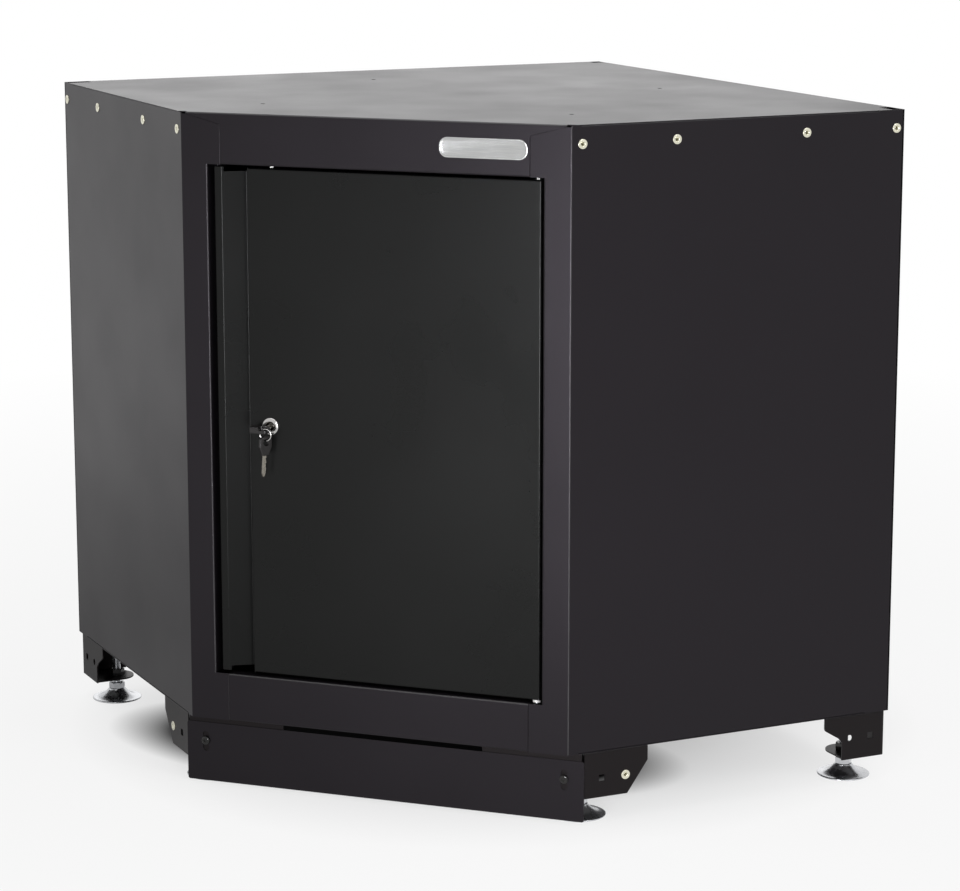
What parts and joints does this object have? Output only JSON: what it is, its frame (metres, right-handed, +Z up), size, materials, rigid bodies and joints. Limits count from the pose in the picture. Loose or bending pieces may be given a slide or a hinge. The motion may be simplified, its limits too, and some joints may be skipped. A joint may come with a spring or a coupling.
{
  "type": "corner cabinet",
  "caption": "Five-sided steel corner base cabinet with a lockable hinged door, finger-pull edge, slotted plinth and levelling feet.",
  "frame": {"origin": "on the floor, at the centre of the bounding box in plan", "axes": "+Z up, the door faces -Y, +Y points into the room corner, +X to the right of someone facing the door"},
  "size_m": [1.2232, 0.9732, 0.912],
  "materials": {
    "frame_paint": "satin powder coat, charcoal",
    "door_paint": "satin powder coat, graphite",
    "bracket_paint": "satin powder coat, near black",
    "black_steel": "blackened",
    "yellow_zinc": "pale yellow zinc plate",
    "bright_zinc": "bright zinc plate",
    "foot_zinc": "bright zinc plate",
    "chrome": "polished",
    "lock_core": "dark nickel plate",
    "key_steel": "nickel plate",
    "key_plastic": "fine grain",
    "plate_silver": "satin",
    "pale_nylon": "smooth",
    "black_rubber": "matt"
  },
  "bodies": {
    "cabinet": {"top_panel": "frame_paint", "bottom_panel": "frame_paint", "left_side_panel": "frame_paint", "right_side_panel": "frame_paint", "left_back_panel": "frame_paint", "right_back_panel": "frame_paint", "shelf": "frame_paint", "shelf_supports": "frame_paint", "front_left_bracket": "bracket_paint", "front_right_bracket": "bracket_paint", "back_left_bracket": "bracket_paint", "back_right_bracket": "bracket_paint", "back_corner_bracket": "bracket_paint", "foot_nuts": "black_steel", "plinth_screws": "black_steel", "plinth_nuts": "black_steel", "bracket_bolts": "black_steel", "bracket_nuts": "black_steel", "back_rivets": "black_steel", "left_rivet_nuts": "yellow_zinc", "right_rivet_nuts": "yellow_zinc", "bracket_rivet_nuts": "yellow_zinc", "lower_hinge_pin": "bright_zinc", "badge_plate": "plate_silver", "upper_hinge_pin": "pale_nylon", "lower_hinge_washer": "pale_nylon", "door_glide": "pale_nylon", "door_buffers": "black_rubber"},
    "door": {"door_panel": "door_paint", "door_stiffener": "door_paint", "upper_hinge_bush": "pale_nylon", "lower_hinge_bush": "pale_nylon", "lock_housing": "chrome", "lock_nut": "bright_zinc"},
    "lock": {"lock_plug": "lock_core", "lock_cam": "bright_zinc", "cam_screw": "bright_zinc", "key_blade": "key_steel", "key_bow": "key_plastic"},
    "key_ring": {"key_ring": "chrome"},
    "spare_key": {"spare_key_blade": "key_steel", "spare_key_bow": "key_plastic"},
    "plinth": {"plinth_panel": "frame_paint"},
    "front_left_foot": {"front_left_foot_pad": "foot_zinc", "front_left_foot_stem": "foot_zinc"},
    "front_right_foot": {"front_right_foot_pad": "foot_zinc", "front_right_foot_stem": "foot_zinc"},
    "back_left_foot": {"back_left_foot_pad": "foot_zinc", "back_left_foot_stem": "foot_zinc"},
    "back_right_foot": {"back_right_foot_pad": "foot_zinc", "back_right_foot_stem": "foot_zinc"},
    "back_corner_foot": {"back_corner_foot_pad": "foot_zinc", "back_corner_foot_stem": "foot_zinc"}
  },
  "joints": [
    {"name": "door_hinge", "type": "hinge", "parent": "cabinet", "child": "door", "pos_m": [0.21928, -0.45696, 0.5], "axis": [0, 0, 1], "range_deg": [0, 100]},
    {"name": "lock_turn", "type": "hinge", "parent": "door", "child": "lock", "pos_m": [-0.148, -0.46996, 0.5025], "axis": [0, 1, 0], "range_deg": [0, 90]},
    {"name": "key_ring_swing", "type": "hinge", "parent": "lock", "child": "key_ring", "pos_m": [-0.1498, -0.47796, 0.493], "axis": [0, 1, 0], "range_deg": [-20, 20]},
    {"name": "spare_key_swing", "type": "hinge", "parent": "key_ring", "child": "spare_key", "pos_m": [-0.1498, -0.47796, 0.4853], "axis": [1, 0, 0], "range_deg": [-28, 8]},
    {"name": "plinth_height", "type": "slide", "parent": "cabinet", "child": "plinth", "axis": [0, 0, 1], "range_m": [0, 0.01]},
    {"name": "front_left_foot_height", "type": "slide", "parent": "cabinet", "child": "front_left_foot", "axis": [0, 0, 1], "range_m": [0, 0.0075]},
    {"name": "front_right_foot_height", "type": "slide", "parent": "cabinet", "child": "front_right_foot", "axis": [0, 0, 1], "range_m": [0, 0.0075]},
    {"name": "back_left_foot_height", "type": "slide", "parent": "cabinet", "child": "back_left_foot", "axis": [0, 0, 1], "range_m": [0, 0.0075]},
    {"name": "back_right_foot_height", "type": "slide", "parent": "cabinet", "child": "back_right_foot", "axis": [0, 0, 1], "range_m": [0, 0.0075]},
    {"name": "back_corner_foot_height", "type": "slide", "parent": "cabinet", "child": "back_corner_foot", "axis": [0, 0, 1], "range_m": [0, 0.0075]}
  ]
}
